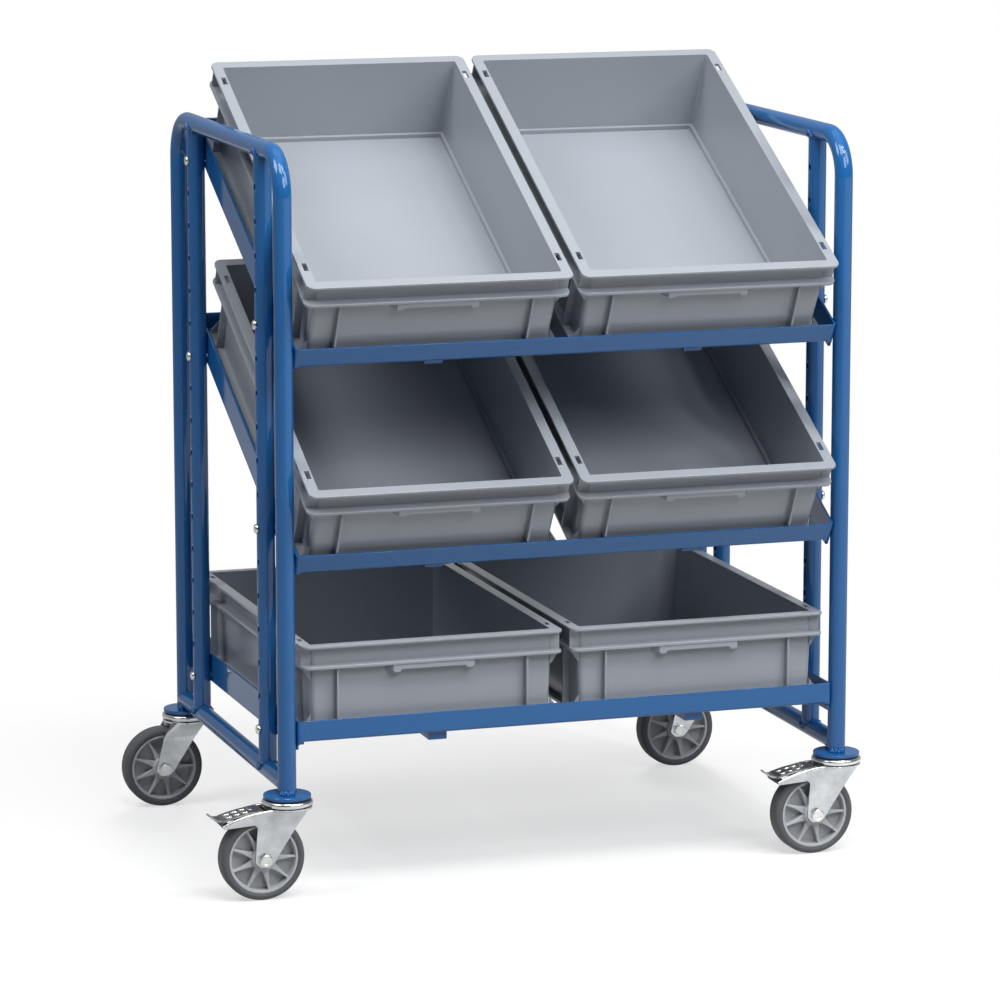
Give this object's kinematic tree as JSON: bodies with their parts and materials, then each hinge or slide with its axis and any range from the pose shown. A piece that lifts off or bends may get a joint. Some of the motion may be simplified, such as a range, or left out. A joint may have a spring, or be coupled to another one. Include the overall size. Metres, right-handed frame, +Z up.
{
  "type": "euro box trolley",
  "caption": "Tubular steel picking trolley with perforated uprights, a level tray, tilted trays, lift-off euro boxes and swivel casters, the front ones with foot brakes.",
  "frame": {"origin": "on the floor below the middle of the frame, between the four king bolts", "axes": "+Z up, -Y the front that the trays tilt towards, +X to the right seen from the front"},
  "size_m": [1.0177, 0.6932, 1.1764],
  "materials": {
    "blue_coat": "satin",
    "box_plastic": "satin",
    "zinc_steel": "bright",
    "dark_steel": "satin",
    "tyre_rubber": "matt",
    "rim_plastic": "matt",
    "bush_plastic": "matt",
    "black_rubber": "matt"
  },
  "bodies": {
    "frame": {"caster_plates": "blue_coat", "king_bolts": "zinc_steel", "king_nuts": "zinc_steel", "left_cross_tube": "blue_coat", "left_front_upright": "blue_coat", "left_hoop": "blue_coat", "left_rear_upright": "blue_coat", "lower_tray_rails": "blue_coat", "lower_tray_side_plates": "blue_coat", "lower_tray_supports": "blue_coat", "middle_tray_rails": "blue_coat", "middle_tray_side_plates": "blue_coat", "middle_tray_supports": "blue_coat", "right_cross_tube": "blue_coat", "right_front_upright": "blue_coat", "right_hoop": "blue_coat", "right_rear_upright": "blue_coat", "swivel_balls": "zinc_steel", "swivel_heads": "zinc_steel", "swivel_seals": "black_rubber", "tray_bolts": "zinc_steel", "tray_nuts": "zinc_steel", "tray_washers": "zinc_steel", "upper_tray_rails": "blue_coat", "upper_tray_side_plates": "blue_coat", "upper_tray_supports": "blue_coat"},
    "front_left_caster": {"front_left_fork": "zinc_steel", "front_left_axle": "zinc_steel", "front_left_brake_pin": "zinc_steel"},
    "front_left_wheel": {"front_left_wheel_rim": "rim_plastic", "front_left_tyre": "tyre_rubber", "front_left_wheel_bush": "bush_plastic"},
    "front_left_brake": {"front_left_brake_pedal": "dark_steel", "front_left_brake_block": "black_rubber"},
    "front_right_caster": {"front_right_fork": "zinc_steel", "front_right_axle": "zinc_steel", "front_right_brake_pin": "zinc_steel"},
    "front_right_wheel": {"front_right_wheel_rim": "rim_plastic", "front_right_tyre": "tyre_rubber", "front_right_wheel_bush": "bush_plastic"},
    "front_right_brake": {"front_right_brake_pedal": "dark_steel", "front_right_brake_block": "black_rubber"},
    "rear_left_caster": {"rear_left_fork": "zinc_steel", "rear_left_axle": "zinc_steel"},
    "rear_left_wheel": {"rear_left_wheel_rim": "rim_plastic", "rear_left_tyre": "tyre_rubber", "rear_left_wheel_bush": "bush_plastic"},
    "rear_right_caster": {"rear_right_fork": "zinc_steel", "rear_right_axle": "zinc_steel"},
    "rear_right_wheel": {"rear_right_wheel_rim": "rim_plastic", "rear_right_tyre": "tyre_rubber", "rear_right_wheel_bush": "bush_plastic"},
    "lower_left_box": {"lower_left_box": "box_plastic"},
    "lower_right_box": {"lower_right_box": "box_plastic"},
    "middle_left_box": {"middle_left_box": "box_plastic"},
    "middle_right_box": {"middle_right_box": "box_plastic"},
    "upper_left_box": {"upper_left_box": "box_plastic"},
    "upper_right_box": {"upper_right_box": "box_plastic"}
  },
  "joints": [
    {"name": "front_left_swivel", "type": "hinge", "parent": "frame", "child": "front_left_caster", "pos_m": [-0.43, -0.296, 0.137], "axis": [0, 0, 1], "continuous": true},
    {"name": "front_left_spin", "type": "hinge", "parent": "front_left_caster", "child": "front_left_wheel", "pos_m": [-0.47, -0.296, 0.0625], "axis": [0, 1, 0], "continuous": true},
    {"name": "front_left_brake_press", "type": "hinge", "parent": "front_left_caster", "child": "front_left_brake", "pos_m": [-0.482, -0.296, 0.1285], "axis": [0, -1, 0], "range_deg": [0, 12]},
    {"name": "front_right_swivel", "type": "hinge", "parent": "frame", "child": "front_right_caster", "pos_m": [0.43, -0.296, 0.137], "axis": [0, 0, 1], "continuous": true},
    {"name": "front_right_spin", "type": "hinge", "parent": "front_right_caster", "child": "front_right_wheel", "pos_m": [0.39, -0.296, 0.0625], "axis": [0, 1, 0], "continuous": true},
    {"name": "front_right_brake_press", "type": "hinge", "parent": "front_right_caster", "child": "front_right_brake", "pos_m": [0.378, -0.296, 0.1285], "axis": [0, -1, 0], "range_deg": [0, 12]},
    {"name": "rear_left_swivel", "type": "hinge", "parent": "frame", "child": "rear_left_caster", "pos_m": [-0.43, 0.296, 0.137], "axis": [0, 0, 1], "continuous": true},
    {"name": "rear_left_spin", "type": "hinge", "parent": "rear_left_caster", "child": "rear_left_wheel", "pos_m": [-0.47, 0.296, 0.0625], "axis": [0, 1, 0], "continuous": true},
    {"name": "rear_right_swivel", "type": "hinge", "parent": "frame", "child": "rear_right_caster", "pos_m": [0.43, 0.296, 0.137], "axis": [0, 0, 1], "continuous": true},
    {"name": "rear_right_spin", "type": "hinge", "parent": "rear_right_caster", "child": "rear_right_wheel", "pos_m": [0.39, 0.296, 0.0625], "axis": [0, 1, 0], "continuous": true},
    {"name": "lower_left_box_lift", "type": "slide", "parent": "frame", "child": "lower_left_box", "axis": [0, 0, 1], "range_m": [0, 0.09]},
    {"name": "lower_right_box_lift", "type": "slide", "parent": "frame", "child": "lower_right_box", "axis": [0, 0, 1], "range_m": [0, 0.09]},
    {"name": "middle_left_box_lift", "type": "slide", "parent": "frame", "child": "middle_left_box", "axis": [0, -0.4619, 0.8869], "range_m": [0, 0.1]},
    {"name": "middle_right_box_lift", "type": "slide", "parent": "frame", "child": "middle_right_box", "axis": [0, -0.4619, 0.8869], "range_m": [0, 0.1]},
    {"name": "upper_left_box_lift", "type": "slide", "parent": "frame", "child": "upper_left_box", "axis": [0, -0.4619, 0.8869], "range_m": [0, 0.25]},
    {"name": "upper_right_box_lift", "type": "slide", "parent": "frame", "child": "upper_right_box", "axis": [0, -0.4619, 0.8869], "range_m": [0, 0.25]}
  ]
}
